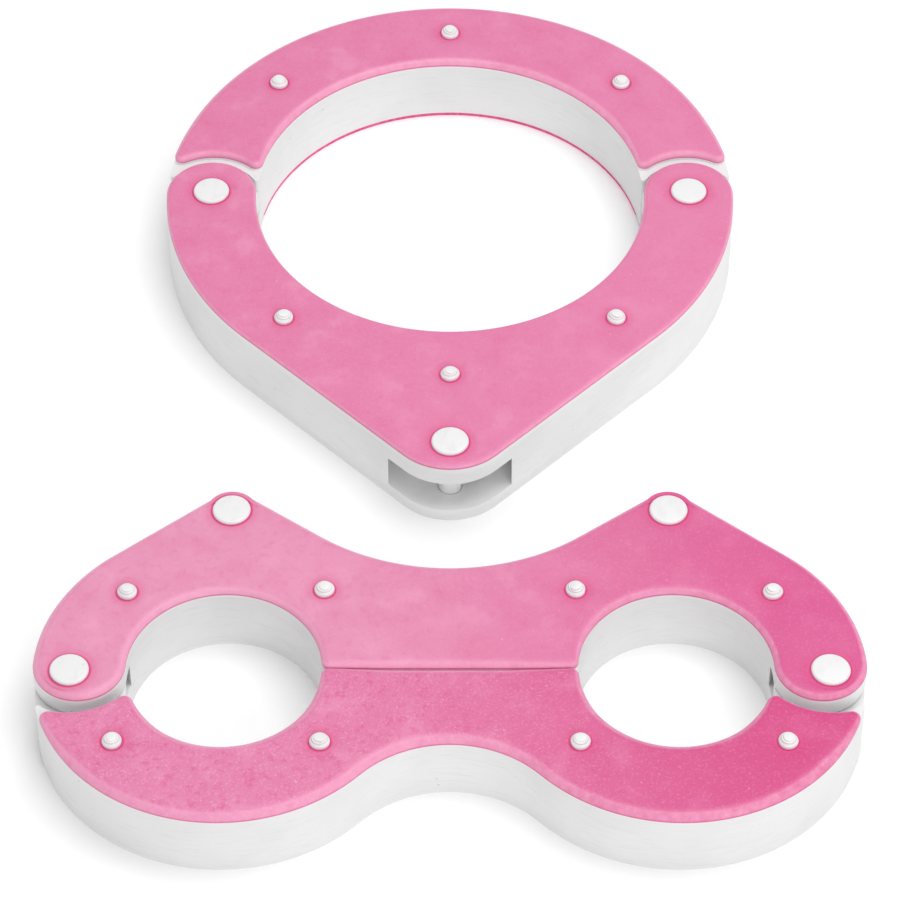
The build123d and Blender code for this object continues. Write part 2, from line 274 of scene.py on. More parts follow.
def colour(value):
    return (*value, 1.0) if isinstance(value, tuple) and len(value) == 3 else value


def mixed(red, green, blue):
    """A colour as a paint chart gives it, 0 to 255, in the linear light that nodes count in."""
    return tuple(((part / 255 + 0.055) / 1.055) ** 2.4 for part in (red, green, blue))


# %% [markdown]
# The table is matt white laminate, and stays plain so that nothing competes with the set. Its white is a
# little under full, because a surface that throws back all the light would look as if it glowed.

# %% Table finish
TABLE_WHITE = (0.97, 0.97, 0.97)
laminate = Finish("table_laminate", roughness=0.9, gloss=0.0)
laminate.feed("Base Color", colour(TABLE_WHITE))
table.data.materials.append(laminate.material)
print("the table's finish has", len(laminate.tree.nodes), "nodes")

# %% [markdown]
# A sheet's outline is needed as a clean loop of points. It could be drawn again from the drawing's arcs,
# but the packed piece already holds it. So the loops are read from the piece's flat face, joined up, and
# made smoother: points are added along each round stretch, and long straight stretches are left alone.

# %% Read outlines from the frame
FLAT = 0.9
SAME_HEIGHT = 1e-5
SAME_POINT = 2e-6


def welded(node):
    """The node's mesh with its split corners joined again."""
    copy = bmesh.new()
    copy.from_mesh(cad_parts[node].data)
    bmesh.ops.remove_doubles(copy, verts=copy.verts[:], dist=SAME_POINT)
    return copy


def outlines(node, height):
    """The loops of points, the longest first, that bound the node's flat face at that height."""
    piece = welded(node)
    after = {}
    for edge in piece.edges:
        level = all(abs(end.co.z - height) < SAME_HEIGHT for end in edge.verts)
        flat = [abs(face.normal.z) > FLAT for face in edge.link_faces]
        if level and sorted(flat) == [False, True]:
            start, end = (vert.index for vert in edge.verts)
            after.setdefault(start, []).append(end)
            after.setdefault(end, []).append(start)
    points = {vert.index: vert.co.to_2d() for vert in piece.verts}
    piece.free()
    loops = []
    while after:
        here = min(after)
        loop = []
        while here in after:
            loop.append(here)
            ahead = [there for there in after.pop(here) if there in after]
            here = ahead[0] if ahead else -1
        loops.append([points[index] for index in loop])
    loops.sort(key=lambda loop: -sum((a - b).length for a, b in zip(loop, loop[1:] + loop[:1])))
    return loops


outline_counts = [len(loop) for loop in outlines("arch_top_panel", arch_low.z)]
print("points in the arch sheet's outline and holes:", outline_counts)

# %% [markdown]
# The packed outline is a chain of short straight runs. A curve through its points makes it smooth again:
# each point gets a slope from the runs beside it, and new points are set out between them.

# %% Smooth an outline
LONG_RUN = 9.0 * MM
POINT_SPACING = 1.5 * MM


def area_of(loop):
    return sum(a.cross(b) for a, b in zip(loop, loop[1:] + loop[:1])) / 2


def counter_clockwise(loop):
    return loop if area_of(loop) > 0 else loop[::-1]


def smoothed(loop):
    """More points along the round stretches, on a curve through the given points."""
    count = len(loop)
    runs = [loop[(k + 1) % count] - loop[k] for k in range(count)]
    slopes = []
    for before, after in zip(runs[-1:] + runs[:-1], runs):
        slope = before * (after.length / before.length) + after * (before.length / after.length)
        if max(before.length, after.length) > LONG_RUN:
            slope = max(before, after, key=lambda run: run.length)
        slopes.append(slope.normalized())
    made = []
    for k, run in enumerate(runs):
        start, end = loop[k], loop[(k + 1) % count]
        steps = max(1, round(run.length / POINT_SPACING))
        for step in range(steps):
            t = step / steps
            if run.length > LONG_RUN:
                made.append(start.lerp(end, t))
                continue
            pull_in = slopes[k] * run.length * (t**3 - 2 * t**2 + t)
            pull_out = slopes[(k + 1) % count] * run.length * (t**3 - t**2)
            made.append(start * (2 * t**3 - 3 * t**2 + 1) + pull_in + end * (3 * t**2 - 2 * t**3) + pull_out)
    return made


arch_outline = counter_clockwise(smoothed(outlines("arch_top_panel", arch_low.z)[0]))
arch_area = round(area_of(arch_outline) / MM**2)
print("smoothed arch outline:", len(arch_outline), "points round", arch_area, "mm2")


# %% Way in and bend
STRAIGHT = 1e-6


def inward_and_radius(loop):
    """At each point of a counter-clockwise loop, the way in and the radius of the bend there."""
    ways, radii = [], []
    for before, here, after in zip(loop[-1:] + loop[:-1], loop, loop[1:] + loop[:1]):
        along = (after - before).normalized()
        turn = (here - before).angle_signed(after - here, 0.0)
        ways.append(Vector((-along.y, along.x)))
        radii.append((after - before).length / 2 / max(-turn, STRAIGHT))
    return ways, radii


print("tightest bend of the arch outline:", round(min(inward_and_radius(arch_outline)[1]) / MM, 1), "mm")

# %% [markdown]
# The pink sheet is a flat plastic laminate, cut out and then rounded over with a router along its upper
# rim. A bevel modifier would do on a plain box, but this outline has corners tighter than the round, and
# drilled holes. So the sheet is lofted: rings of points, each a little further in and up, then a filled
# face. Where a corner is too tight, the round narrows. Round each pin and rivet the sheet is pressed in.

# %% Rim widths
CORNER_SHARE = 0.8
NARROW_REACH = 6


def rim_widths(loop, widest):
    """How wide the round may be at each point, narrowing gently towards tight corners."""
    count = len(loop)
    allowed = [min(widest, CORNER_SHARE * radius) for radius in inward_and_radius(loop)[1]]
    reach = range(-NARROW_REACH, NARROW_REACH + 1)
    lowest = [min(allowed[(k + step) % count] for step in reach) for k in range(count)]
    return [sum(lowest[(k + step) % count] for step in reach) / len(reach) for k in range(count)]


print("a 3 mm rim on the arch narrows to", round(min(rim_widths(arch_outline, 3 * MM)) / MM, 1), "mm")


# %% Rings of points
def ring(mesh, points, heights):
    return [mesh.verts.new((point.x, point.y, z)) for point, z in zip(points, heights)]


def skin(mesh, lower, upper):
    """A band of faces between two rings of as many points."""
    for k in range(len(lower)):
        mesh.faces.new((lower[k - 1], lower[k], upper[k], upper[k - 1])).smooth = True


RIM_STEPS = 9
RIM_LEAN = math.radians(62)


def rounded_wall(mesh, outline, low, high, rim, drop):
    """A wall up the outline that rounds over at its top. Returns its lowest and highest rings."""
    ways = inward_and_radius(outline)[0]
    widths = rim_widths(outline, rim)
    rings = [ring(mesh, outline, [low] * len(outline))]
    for step in range(RIM_STEPS, -1, -1):
        lean = RIM_LEAN * step / RIM_STEPS
        inward = 1 - math.sin(lean) / math.sin(RIM_LEAN)
        down = drop * (1 - math.cos(lean)) / (1 - math.cos(RIM_LEAN))
        points = [p + way * width * inward for p, way, width in zip(outline, ways, widths)]
        heights = [high - down * width / rim for width in widths]
        rings.append(ring(mesh, points, heights))
    for lower, upper in zip(rings, rings[1:]):
        skin(mesh, lower, upper)
    return rings[0], rings[-1]


trial = bmesh.new()
rounded_wall(trial, arch_outline, arch_low.z, arch_high.z, 3 * MM, 2 * MM)
print("a trial wall round the arch has", len(trial.faces), "faces")
trial.free()


# %% Drill holes
HOLE_POINTS = 48
PIN_HOLE = 3 * MM


def circle(centre, radius):
    turns = [2 * math.pi * k / HOLE_POINTS for k in range(HOLE_POINTS)]
    return [centre + Vector((math.cos(turn), math.sin(turn))) * radius for turn in turns]


def round_holes(node, height):
    """(centre, radius) of each drilled hole in the node's flat face at that height."""
    found = []
    for loop in outlines(node, height)[1:]:
        centre = sum(loop, Vector((0, 0))) / len(loop)
        found.append((centre, (loop[0] - centre).length))
    return found


def drilled_hole(mesh, centre, steps):
    """A round wall through (radius, height) steps. Returns its lowest and highest rings."""
    rings = [ring(mesh, circle(centre, radius), [z] * HOLE_POINTS) for radius, z in steps]
    for lower, upper in zip(rings, rings[1:]):
        skin(mesh, lower[::-1], upper[::-1])
    return rings[0], rings[-1]


print("holes in the arch sheet:", len(round_holes("arch_top_panel", arch_low.z)))


# %% Finish a mesh
SMOOTH_BELOW = math.radians(35)


def finished(name, mesh):
    """The mesh as a piece, shaded smooth except across its sharper edges."""
    bmesh.ops.recalc_face_normals(mesh, faces=mesh.faces[:])
    for face in mesh.faces:
        face.smooth = True
    for edge in mesh.edges:
        edge.smooth = edge.calc_face_angle(0.0) < SMOOTH_BELOW
    data = bpy.data.meshes.new(name)
    mesh.to_mesh(data)
    mesh.free()
    piece = bpy.data.objects.new(name, data)
    bpy.context.scene.collection.objects.link(piece)
    return piece


def fill(mesh, rings, normal):
    edges = [mesh.edges.get((loop[k - 1], loop[k])) for loop in rings for k in range(len(loop))]
    bmesh.ops.triangle_fill(mesh, use_beauty=True, use_dissolve=False, edges=edges, normal=normal)


HEAD_REACH = 6.2 * MM
RIVET_REACH = 3.3 * MM
PRESSED_SLOPE = 1.6 * MM


def cut_sheet(name, node, rim, drop, pressed):
    """A sheet in the node's place, its rim rounded, and pressed in by that depth round each hole."""
    low, high = (corner.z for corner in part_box(node))
    mesh = bmesh.new()
    outline = counter_clockwise(smoothed(outlines(node, low)[0]))
    ends = [rounded_wall(mesh, outline, low, high, rim, drop)]
    for centre, radius in round_holes(node, low):
        head = HEAD_REACH if radius > PIN_HOLE else RIVET_REACH
        slope = head + PRESSED_SLOPE
        steps = [(radius, low), (radius, high)]
        if pressed:
            steps = [(radius, low), (radius, high - pressed), (head, high - pressed), (slope, high)]
        ends.append(drilled_hole(mesh, centre, steps))
    fill(mesh, [lowest for lowest, highest in ends], (0, 0, -1))
    fill(mesh, [highest for lowest, highest in ends], (0, 0, 1))
    print(name, "has", len(ends) - 1, "holes and", len(mesh.faces), "faces")
    return finished(name, mesh)


# %% [markdown]
# The four halves were rounded by hand, not by one machine setting, so each has its own rim: how wide the
# round is and how far it drops. The sheets underneath lie on the table and are left almost square.

# %% Cut the eight sheets
PRESSED = 0.25 * MM
UNDER_RIM = 0.06 * MM
RIMS = {
    "yoke": (1.5 * MM, 1.0 * MM), "arch": (3.2 * MM, 1.9 * MM),
    "cuff_rear": (2.8 * MM, 1.7 * MM), "cuff_front": (3.8 * MM, 2.2 * MM),
}
BODY_OF_HALF = {
    "yoke": "collar_yoke", "arch": "collar_arch", "cuff_rear": "cuff_rear", "cuff_front": "cuff_front",
}

top_sheets, under_sheets = {}, {}
for half in BODY_OF_HALF:
    top_sheets[half] = cut_sheet(f"{half}_top_sheet", f"{half}_top_panel", *RIMS[half], PRESSED)
    under_sheets[half] = cut_sheet(f"{half}_under_sheet", f"{half}_bottom_panel", UNDER_RIM, UNDER_RIM, 0)


# %% [markdown]
# The white core is the thick board between the sheets, sawn, slotted and then rubbed with fine paper, so
# its open edges are slightly soft. Its shape is the frame's own, so it is copied rather than drawn again.
# The copy is welded, its needless edges are dissolved, and only the edges that a hand can reach are
# bevelled: those that meet a pink sheet stay crisp, because there the two are glued flush.

# %% Soften a core's open edges
SOFT_EDGE = 0.35 * MM
SHARP_FROM = math.radians(40)
ALMOST_FLAT = math.radians(1)


def at_sheet(edge, low, high):
    """Whether an edge lies where the core meets the sheet above or below it."""
    heights = [end.co.z for end in edge.verts]
    return any(all(abs(z - face) < SAME_HEIGHT for z in heights) for face in (low, high))


def softened_core(name, node):
    low, high = (corner.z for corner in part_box(node))
    mesh = welded(node)
    bmesh.ops.dissolve_limit(mesh, angle_limit=ALMOST_FLAT, verts=mesh.verts[:], edges=mesh.edges[:])
    open_edges = [
        edge
        for edge in mesh.edges
        if edge.calc_face_angle(0.0) > SHARP_FROM and not at_sheet(edge, low, high)
    ]
    bmesh.ops.bevel(
        mesh, geom=open_edges, offset=SOFT_EDGE, offset_type="OFFSET", segments=2, profile=0.5,
        affect="EDGES", clamp_overlap=True,
    )
    print(name, "has", len(open_edges), "softened edges and", len(mesh.faces), "faces")
    return finished(name, mesh)


cores = {half: softened_core(f"{half}_board", f"{half}_core") for half in BODY_OF_HALF}


# %% [markdown]
# Pins, rivets and retainers are round, so they are turned: a profile goes round an axis, as on a lathe.
# A moulded or hammered head is never perfectly round or level. So each one gets its own slight wobble and
# tilt from a seeded generator, which gives the same heads at every run.

# %% Round a profile's corners
CORNER_STEPS = 4


def eased(profile):
    """The profile's points, with each corner that has a radius rounded: (radius out, height, corner)."""
    made = []
    for k, (out, up, corner) in enumerate(profile):
        here = Vector((out, up))
        if corner:
            before = (Vector(profile[k - 1][:2]) - here).normalized() * corner
            after = (Vector(profile[k + 1][:2]) - here).normalized() * corner
            for step in range(CORNER_STEPS + 1):
                t = step / CORNER_STEPS
                made.append(here + before * (1 - t) ** 2 + after * t**2)
        else:
            made.append(here)
    return made


print("a square corner of 1 mm is eased into", len(eased([(0, 0, 0), (2, 0, 1), (2, 2, 0)])) - 2, "points")


# %% The lathe
TURN_POINTS = 64
THREE_LOBES = 0.5


def turned(name, profile, places, wobble, tilt, seed):
    """One piece with a turned part at each place. The profile is in mm, from the axis round to the axis."""
    chance = random.Random(seed)
    mesh = bmesh.new()
    points = [point * MM for point in eased(profile)]
    for place in places:
        starts = [chance.uniform(0, 2 * math.pi) for _ in range(3)]
        lean = Vector((math.cos(starts[2]), math.sin(starts[2]))) * tilt
        rings = []
        for out, up in points:
            line = []
            for k in range(TURN_POINTS):
                turn = 2 * math.pi * k / TURN_POINTS
                lobes = math.cos(2 * turn + starts[0]) + THREE_LOBES * math.cos(3 * turn + starts[1])
                spot = Vector((math.cos(turn), math.sin(turn))) * out * (1 + wobble * lobes)
                line.append(mesh.verts.new((*(place + spot), up - lean.length * out + lean.dot(spot))))
            rings.append(line)
        for lower, upper in zip(rings, rings[1:]):
            skin(mesh, lower, upper)
        if points[0].x > 0:
            skin(mesh, rings[-1], rings[0])
        else:
            bmesh.ops.remove_doubles(mesh, verts=rings[0] + rings[-1], dist=SAME_POINT)
    return finished(name, mesh)


# %% A pin's profile
SHANK = 3.75
BORE, BORE_DEPTH = 1.9, 8.0
PIN_HEAD_FOOT, PIN_HEAD, PIN_HEAD_TOP = 5.85, 6.0, 5.6
PIN_HEAD_RIM = 0.15
PIN_HEAD_RISE = 0.95
PIN_HEAD_DOME = 0.08
SUNK = 0.35


def pin_profile(foot, board):
    """A pin with a broad flat head, from its foot to the middle of its head, in mm."""
    top = board + PIN_HEAD_RISE
    return [
        (0.0, foot + BORE_DEPTH, 0), (BORE, foot + BORE_DEPTH, 0), (BORE, foot, 0), (SHANK, foot, 0),
        (SHANK, board - SUNK, 0), (PIN_HEAD_FOOT, board - SUNK, 0.2), (PIN_HEAD, board + PIN_HEAD_RIM, 0.3),
        (PIN_HEAD_TOP, top - PIN_HEAD_DOME, 0.5), (0.0, top, 0),
    ]


board_mm = BOARD_TOP / MM
print("a pin's profile has", len(eased(pin_profile(0.0, board_mm))), "points")


# %% Pins
def middle(node):
    low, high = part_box(node)
    return ((low + high) / 2).to_2d()


PIN_BODIES = {
    "collar_hinge_pin": "collar_yoke", "collar_lock_pin": "collar_yoke", "collar_anchor_pin": "collar_yoke",
    "cuff_hinge_pin": "cuff_rear", "cuff_lock_pin": "cuff_rear",
    "cuff_anchor_pin_left": "cuff_rear", "cuff_anchor_pin_right": "cuff_rear",
}
PIN_WOBBLE = 0.004
pins = {}
for count, node in enumerate(PIN_BODIES):
    profile = pin_profile(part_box(node)[0].z / MM, board_mm)
    pins[node] = turned(f"{node}_turned", profile, [middle(node)], PIN_WOBBLE, PIN_WOBBLE, seed=count)
print(len(pins), "pins turned")

# %% Retainers
RETAINER_SEED = 40
RETAINER_RADIUS, RETAINER_DEPTH = 5.9, 1.8
RETAINER_PLUG = 1.85
DIMPLE, DIMPLE_RIM, DIMPLE_DEPTH = 2.2, 2.6, 0.5
retainers = {}
for ring_name, sheet_node in (("collar", "yoke_bottom_panel"), ("cuff", "cuff_rear_bottom_panel")):
    low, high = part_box(f"{ring_name}_pin_retainers")
    foot, top = low.z / MM, high.z / MM
    places = [centre for centre, radius in round_holes(sheet_node, 0.0) if radius > PIN_HOLE]
    profile = [
        (0.0, foot + DIMPLE_DEPTH, 0), (DIMPLE, foot + DIMPLE_DEPTH, 0.2), (DIMPLE_RIM, foot, 0.2),
        (RETAINER_RADIUS, foot, 0.3), (RETAINER_RADIUS, foot + RETAINER_DEPTH, 0),
        (RETAINER_PLUG, foot + RETAINER_DEPTH, 0), (RETAINER_PLUG, top, 0.3), (0.0, top, 0),
    ]
    retainers[ring_name] = turned(f"{ring_name}_retainers_turned", profile, places, 0.0, 0.0, RETAINER_SEED)
    print(ring_name, "has", len(places), "retainers")

# %% A rivet's two profiles
BUSH_HOLE, BUSH_SLEEVE = 1.25, 1.95
BUSH_SUNK, BUSH_RIM = 0.3, 0.75
BUSH_FLANGE, BUSH_RADIUS = 3.0, 3.1
CONE_FOOT, CONE_TOP, CONE_RISE = 2.3, 2.2, 0.55
STUD_SHANK = 1.2
STUD_HEAD, STUD_HEAD_TOP = 1.75, 1.7
STUD_EDGE, STUD_MIDDLE = 0.12, 0.03
FIT = 0.05


def bush_profile(foot, step):
    """A sleeve with a rim on the sheet and a cone up to the step, in mm."""
    return [
        (BUSH_HOLE, foot, 0), (BUSH_SLEEVE, foot, 0), (BUSH_SLEEVE, board_mm - BUSH_SUNK, 0),
        (BUSH_FLANGE, board_mm - BUSH_SUNK, 0.15), (BUSH_RADIUS, board_mm + BUSH_RIM, 0.45),
        (CONE_FOOT, step - CONE_RISE, 0.2), (CONE_TOP, step, 0.3), (BUSH_HOLE, step - FIT, 0),
    ]


def stud_profile(low, step, high):
    """A stud whose cap sits on the bush's step, in mm."""
    return [
        (0.0, low, 0), (STUD_SHANK, low, 0.3), (STUD_SHANK, step - FIT, 0), (STUD_HEAD, step - FIT, 0.1),
        (STUD_HEAD_TOP, high - STUD_EDGE, 0.25), (0.0, high - STUD_MIDDLE, 0),
    ]


print("a rivet is", 2 * BUSH_RADIUS, "mm wide")

# %% Rivets
BUSH_WOBBLE, BUSH_TILT, BUSH_SEED = 0.02, 0.035, 60
STUD_WOBBLE, STUD_TILT, STUD_SEED = 0.05, 0.06, 80
bushes, studs = {}, {}
for count, half in enumerate(BODY_OF_HALF):
    places = [centre for centre, radius in round_holes(f"{half}_top_panel", yoke_low.z) if radius < PIN_HOLE]
    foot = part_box(f"{half}_rivet_bushes")[0].z / MM
    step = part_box(f"{half}_rivet_bushes")[1].z / MM
    low, high = (corner.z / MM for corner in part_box(f"{half}_rivet_studs"))
    bush = bush_profile(foot, step)
    stud = stud_profile(low, step, high)
    bushes[half] = turned(f"{half}_bushes_turned", bush, places, BUSH_WOBBLE, BUSH_TILT, BUSH_SEED + count)
    studs[half] = turned(f"{half}_studs_turned", stud, places, STUD_WOBBLE, STUD_TILT, STUD_SEED + count)
    print(half, "has", len(places), "rivets")


# %% [markdown]
# The pink is a dyed laminate with a fine pebbled face. Close up it is cloudy, flecked with paler grains and
# small darker pits. The routed rim is paler, partly from the routing and partly a painted sheen, and round
# each head a deeper ring is painted shade. All of it is mixed from the point's place on the piece: its
# height gives the rim, and its distance from the nearest head gives the shaded ring.

# %% Pinks and whites
CORE_WHITE = (0.775, 0.775, 0.775)
# Pale pink for the clouds and grain, and for the painted sheen on the routed rim.
PALE_AND_SHEEN_PINK = mixed(240, 172, 201)
PIT_PINK = mixed(203, 66, 122)
# Deep pink for the line at the rim's foot, and for the painted shade round each head.
DEEP_AND_SHADE_PINK = mixed(208, 40, 114)
FLECK_PINK = mixed(246, 200, 220)
print("the rim's pink in linear light:", [round(part, 2) for part in PALE_AND_SHEEN_PINK])


# %% How far to the nearest head
def nearest(finish, centres, reach):
    """How far the point is from the edge of the nearest of the heads, in metres."""
    where = finish.node("VectorMath", {"operation": "MULTIPLY"}, {0: finish.place(), 1: (1.0, 1.0, 0.0)})
    spans = []
    for centre in centres:
        sockets = {0: where, 1: (centre.x, centre.y, 0.0)}
        spans.append(finish.node("VectorMath", {"operation": "DISTANCE"}, sockets, output=1))
    closest = spans[0]
    for span in spans[1:]:
        closest = closest.least(span)
    return closest - reach


def head_gap(finish, sheet_node):
    """How far the point is from the nearest head of either size, in metres."""
    holes = round_holes(sheet_node, yoke_low.z)
    gap = nearest(finish, [centre for centre, radius in holes if radius < PIN_HOLE], RIVET_REACH)
    pin_holes = [centre for centre, radius in holes if radius > PIN_HOLE]
    return gap.least(nearest(finish, pin_holes, HEAD_REACH)) if pin_holes else gap


trial = Finish("trial", roughness=0.5)
head_gap(trial, "yoke_top_panel")
print("the gap round the yoke's heads takes", len(trial.tree.nodes), "nodes")
bpy.data.materials.remove(trial.material)


# %% The worn face of the pink
CLOUD_SIZE, PALE_CLOUDS, DEEP_CLOUDS = 11.0, 0.22, 0.14
FEWER_PALE_ACROSS = 0.16
MOTTLE_SIZE, MOTTLE_SHARE, WORN_MOTTLE = 2.4, 0.1, 0.34
GRAIN_SIZE, GRAIN_SHARE, WORN_GRAIN = 0.7, 0.14, 0.2
SCUFF_SIZE, SCUFF_STRETCH = 0.6, (0.7, 1.0, 1.0)
SCUFF_SHARE, WORN_SCUFFS = 0.06, 0.55
SCUFF_PATCH, FLECK_PATCH = 8.0, 9.0
FLECK_SIZE, FLECK_SPREAD, FLECK_SHARE = 0.4, 4.5, 0.4
WORN_LESS_ACROSS = 0.85


def clouded(finish, body, shade_and_wear_across):
    """Broad pale and deep clouds, and the noise behind them."""
    clouds = finish.noise(CLOUD_SIZE, detail=5.0)
    # Fewer pale clouds towards the right, as part of the painted shade.
    pale = clouds.ramp(0.5, 0.72) * (PALE_CLOUDS - FEWER_PALE_ACROSS * shade_and_wear_across)
    deep = clouds.ramp(0.5, 0.28) * DEEP_CLOUDS
    return finish.mix(deep, finish.mix(pale, body, PALE_AND_SHEEN_PINK), PIT_PINK), clouds


def mottled(finish, body, worn):
    """Deeper mottling and a pale grain, and the two noises behind them."""
    mottle = finish.noise(MOTTLE_SIZE, detail=5.0)
    body = finish.mix(mottle.ramp(0.5, 0.72) * (MOTTLE_SHARE + WORN_MOTTLE * worn), body, PIT_PINK)
    grain = finish.noise(GRAIN_SIZE, detail=3.0)
    pale = grain.ramp(0.5, 0.75) * (GRAIN_SHARE + WORN_GRAIN * worn)
    return finish.mix(pale, body, PALE_AND_SHEEN_PINK), mottle, grain


def flecked(finish, body, worn):
    """Pale scuffs that come in patches, and a few single flecks."""
    patches = finish.noise(SCUFF_PATCH).ramp(0.42, 0.62)
    scuffs = finish.noise(SCUFF_SIZE, detail=3.0, stretch=SCUFF_STRETCH)
    scuffed = scuffs.ramp(0.6, 0.78) * patches * (SCUFF_SHARE + WORN_SCUFFS * worn)
    body = finish.mix(scuffed, body, FLECK_PINK)
    flecks = finish.spots(FLECK_SIZE, FLECK_SPREAD) * finish.noise(FLECK_PATCH).ramp(0.5, 0.62)
    return finish.mix(flecks * FLECK_SHARE, body, FLECK_PINK)


print("the finest scuffs are", SCUFF_SIZE, "mm")

# %% Rims and heads on the pink
PINK_SKIN = 0.35 * MM
ROUTED_SHEEN_FROM, ROUTED_SHEEN_TO = 0.02 * MM, 0.5 * MM
ROUTED_SHEEN_SHARE, ROUTED_SHEEN_MOTTLE = 0.1, 0.7
SAWN_LINE, SAWN_SHARE = 0.25 * MM, 0.5
SKIN_BLUR = 0.05 * MM
# The painted shade round each head: how far its ring and its thin line reach, and how strong.
SHADE_HALO, SHADE_HALO_SHARE = 5.0 * MM, 0.32
SHADE_LINE, SHADE_LINE_SHARE = 0.8 * MM, 0.85


def rimmed(finish, body, height, mottle, rim_foot):
    """Paler along the router's round, partly a painted sheen, and a deep line at the rim's foot."""
    # Painted sheen: the rim's pale band is partly the routed face and partly a painted highlight.
    routed_and_sheen = height.ramp(BOARD_TOP - ROUTED_SHEEN_FROM, BOARD_TOP - ROUTED_SHEEN_TO)
    body = finish.mix(routed_and_sheen * (ROUTED_SHEEN_SHARE + ROUTED_SHEEN_MOTTLE * mottle), body, PALE_AND_SHEEN_PINK)
    return finish.mix(height.ramp(rim_foot + SAWN_LINE, rim_foot) * SAWN_SHARE, body, DEEP_AND_SHADE_PINK)


# Painted shade: the ring and the line stand in for the shade where each head sits on the sheet.
def pressed(finish, body, sheet_node):
    """A painted shade round each head: a deeper ring, and a thin line right beside it."""
    gap = head_gap(finish, sheet_node)
    shade_halo = gap.ramp(SHADE_HALO, 0.0)
    body = finish.mix(shade_halo * shade_halo * SHADE_HALO_SHARE, body, DEEP_AND_SHADE_PINK)
    return finish.mix(gap.ramp(SHADE_LINE, 0.0) * SHADE_LINE_SHARE, body, DEEP_AND_SHADE_PINK)


print("the pink goes", round(PINK_SKIN / MM, 2), "mm down the wall")

# %% Pink sheet
SHADE_DEEPENS_FROM = 0.25


def pink_sheet(half, left, right, half_width, wear):
    """Pink laminate, from the left pink to the right one over the ring as painted shade, and worn by so much.
    """
    finish = Finish(f"pink_{half}", roughness=0.42, gloss=0.45)
    split = finish.node("SeparateXYZ", None, {0: finish.place()})
    height = Wire(finish, split.socket.node.outputs["Z"])
    # Painted shade: the pink goes from the left colour to the right one across the ring; the wear fades the
    # same way.
    shade_and_wear_across = (split / (2 * half_width) + 0.5).ramp(SHADE_DEEPENS_FROM, 1.0)
    worn = wear * (1 - WORN_LESS_ACROSS * shade_and_wear_across)
    rim_foot = BOARD_TOP - RIMS[half][1]
    skin_foot = rim_foot - PINK_SKIN
    body, clouds = clouded(finish, finish.mix(shade_and_wear_across, left, right), shade_and_wear_across)
    body, mottle, grain = mottled(finish, body, worn)
    body = rimmed(finish, flecked(finish, body, worn), height, mottle, rim_foot)
    body = pressed(finish, body, f"{half}_top_panel")
    body = finish.mix(height.ramp(skin_foot, skin_foot - SKIN_BLUR), body, CORE_WHITE)
    finish.feed("Base Color", body)
    finish.feed("Roughness", 0.36 + 0.16 * grain)
    finish.relief(grain * 0.5 + clouds * 0.4 - mottle * (0.2 + worn), 0.08 + 0.1 * wear)
    return finish


CUFF_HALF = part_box("cuff_front_bottom_panel")[1].x
COLLAR_HALF = yoke_high.x
# On the cuffs the right pink is darker than the left one, a painted shade across the ring.
COLLAR_PINKS = mixed(216, 120, 161), mixed(216, 120, 161)
CUFF_REAR_PINKS = mixed(219, 139, 173), mixed(206, 79, 137)
CUFF_FRONT_PINKS = mixed(215, 119, 161), mixed(202, 60, 124)
sheet_finishes = {
    "yoke": pink_sheet("yoke", *COLLAR_PINKS, COLLAR_HALF, wear=0.1),
    "arch": pink_sheet("arch", *COLLAR_PINKS, COLLAR_HALF, wear=0.1),
    "cuff_rear": pink_sheet("cuff_rear", *CUFF_REAR_PINKS, CUFF_HALF, wear=0.2),
    "cuff_front": pink_sheet("cuff_front", *CUFF_FRONT_PINKS, CUFF_HALF, wear=1.0),
}
print("nodes in each pink:", [len(finish.tree.nodes) for finish in sheet_finishes.values()])

# %% [markdown]
# The sheet under each ring is the same laminate, only thinner. On the arch its sawn edge shows pink, as a
# fine line under the white. On the other halves that edge was painted over, so only the face that
# lies on the table is pink: the direction that the surface faces tells them apart.

# %% Under sheets
EDGE_FACING = 0.55
EDGE_BLUR = 0.1
UNDER_GRAIN = 1.3


def under_sheet(name, pink, painted_edge):
    finish = Finish(name, roughness=0.5, gloss=0.4)
    grain = finish.noise(UNDER_GRAIN, detail=3.0)
    body = finish.mix(grain.ramp(0.3, 0.8) * 0.3, pink, PALE_AND_SHEEN_PINK)
    if painted_edge:
        facing = finish.node("NewGeometry", output=1)
        up = Wire(finish, finish.node("SeparateXYZ", None, {0: facing}).socket.node.outputs["Z"])
        edge = up.ramp(-EDGE_FACING, EDGE_BLUR - EDGE_FACING)
        body = finish.mix(edge, body, CORE_WHITE)
    finish.feed("Base Color", body)
    finish.feed("Roughness", 0.45 + 0.15 * grain)
    finish.relief(grain, 0.06)
    return finish


UNDER_PINK = mixed(216, 62, 128)
under_finishes = {half: under_sheet(f"under_{half}", UNDER_PINK, half != "arch") for half in BODY_OF_HALF}
print("halves with a painted lower edge:", [half for half in under_finishes if half != "arch"])


# %% [markdown]
# The core is foamed plastic board: matt to satin white, with long faint tool marks along the sawn wall, a
# few specks of dust and soft, barely grey clouds. A pure white would look like paper, so the variation
# matters even where it is hardly seen.

# %% White board
CLOUD_WHITE = (0.705, 0.705, 0.705)
MARK_WHITE = (0.63, 0.63, 0.63)
DUST_GREY = (0.36, 0.36, 0.36)
BOARD_CLOUDS, CLOUD_SHARE, BOARD_FINE = 30.0, 0.6, 0.8
MARK_SIZE, MARK_STRETCH, MARK_SHARE = 9.0, (1.0, 1.0, 12.0), 0.35
DUST_SIZE, DUST_SPREAD, DUST_PATCH, DUST_SHARE = 0.5, 6.0, 14.0, 0.45


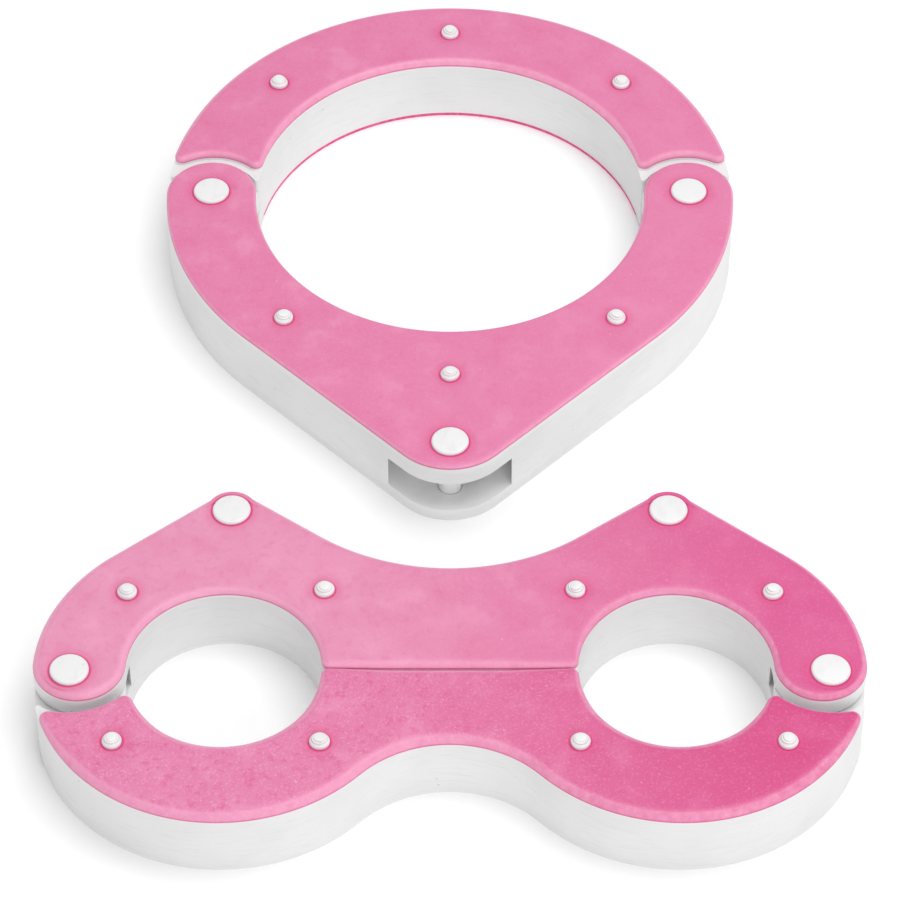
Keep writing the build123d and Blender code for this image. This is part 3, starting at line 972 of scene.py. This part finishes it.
def white_board(name):
    finish = Finish(name, roughness=0.5, gloss=0.4)
    clouds = finish.noise(BOARD_CLOUDS, detail=3.0)
    body = finish.mix(clouds.ramp(0.35, 0.75) * CLOUD_SHARE, CORE_WHITE, CLOUD_WHITE)
    marks = finish.noise(MARK_SIZE, detail=4.0, stretch=MARK_STRETCH)
    body = finish.mix(marks.ramp(0.5, 0.75) * MARK_SHARE, body, MARK_WHITE)
    dust = finish.spots(DUST_SIZE, DUST_SPREAD) * finish.noise(DUST_PATCH).ramp(0.5, 0.62)
    body = finish.mix(dust * DUST_SHARE, body, DUST_GREY)
    fine = finish.noise(BOARD_FINE)
    finish.feed("Base Color", body)
    finish.feed("Roughness", 0.42 + 0.16 * clouds)
    finish.relief(marks * 0.7 + fine * 0.3, 0.08)
    return finish


board_finishes = {half: white_board(f"white_{half}") for half in BODY_OF_HALF}
print(len(board_finishes), "white boards")


# %% [markdown]
# Pins and rivets are moulded in a harder, shinier white plastic. They carry faint flow marks, some handling
# scuffs and a hint of grey where dirt gathers.

# %% White hardware
MOULDED_WHITE = (0.765, 0.765, 0.765)
FLOW_WHITE = (0.68, 0.68, 0.68)
SCUFF_GREY = (0.5, 0.5, 0.5)
FLOW_SIZE, FLOW_STRETCH, FLOW_SHARE = 3.0, (1.0, 0.45, 1.0), 0.5
MARK_DOTS, MARK_SPREAD, MARK_PATCH, DOTS_SHARE = 0.7, 3.2, 5.0, 0.35
HARDWARE_FINE = 0.7


def moulded_white(name):
    finish = Finish(name, roughness=0.3, gloss=0.5)
    flow = finish.noise(FLOW_SIZE, detail=3.0, stretch=FLOW_STRETCH)
    body = finish.mix(flow.ramp(0.45, 0.75) * FLOW_SHARE, MOULDED_WHITE, FLOW_WHITE)
    scuffs = finish.spots(MARK_DOTS, MARK_SPREAD) * finish.noise(MARK_PATCH).ramp(0.5, 0.62)
    body = finish.mix(scuffs * DOTS_SHARE, body, SCUFF_GREY)
    fine = finish.noise(HARDWARE_FINE)
    finish.feed("Base Color", body)
    finish.feed("Roughness", 0.28 + 0.2 * flow)
    finish.relief(flow * 0.8 + fine * 0.2, 0.12)
    return finish


hardware_finish = moulded_white("moulded_white")
print("the hardware's finish has", len(hardware_finish.tree.nodes), "nodes")


# %% [markdown]
# Last, each piece takes its finish, rides on its body and stands for its node. The
# packed nodes stay where they are for the physics; they are only hidden.

# %% Put the pieces on the frame
def hand_over(piece, finish, body, node):
    piece.data.materials.append(finish.material)
    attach(piece, body)
    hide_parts(node)


for half, body in BODY_OF_HALF.items():
    hand_over(top_sheets[half], sheet_finishes[half], body, f"{half}_top_panel")
    hand_over(under_sheets[half], under_finishes[half], body, f"{half}_bottom_panel")
    hand_over(cores[half], board_finishes[half], body, f"{half}_core")
    hand_over(bushes[half], hardware_finish, body, f"{half}_rivet_bushes")
    hand_over(studs[half], hardware_finish, body, f"{half}_rivet_studs")
for node, body in PIN_BODIES.items():
    hand_over(pins[node], hardware_finish, body, node)
hand_over(retainers["collar"], hardware_finish, "collar_yoke", "collar_pin_retainers")
hand_over(retainers["cuff"], hardware_finish, "cuff_rear", "cuff_pin_retainers")

# %% [markdown]
# The visible model has to stay inside the packed model's box. The size of the visible model's box is
# written down.

# %% Sizes
low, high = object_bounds()
print("visible box in mm:", [round(side / MM, 2) for side in high - low])
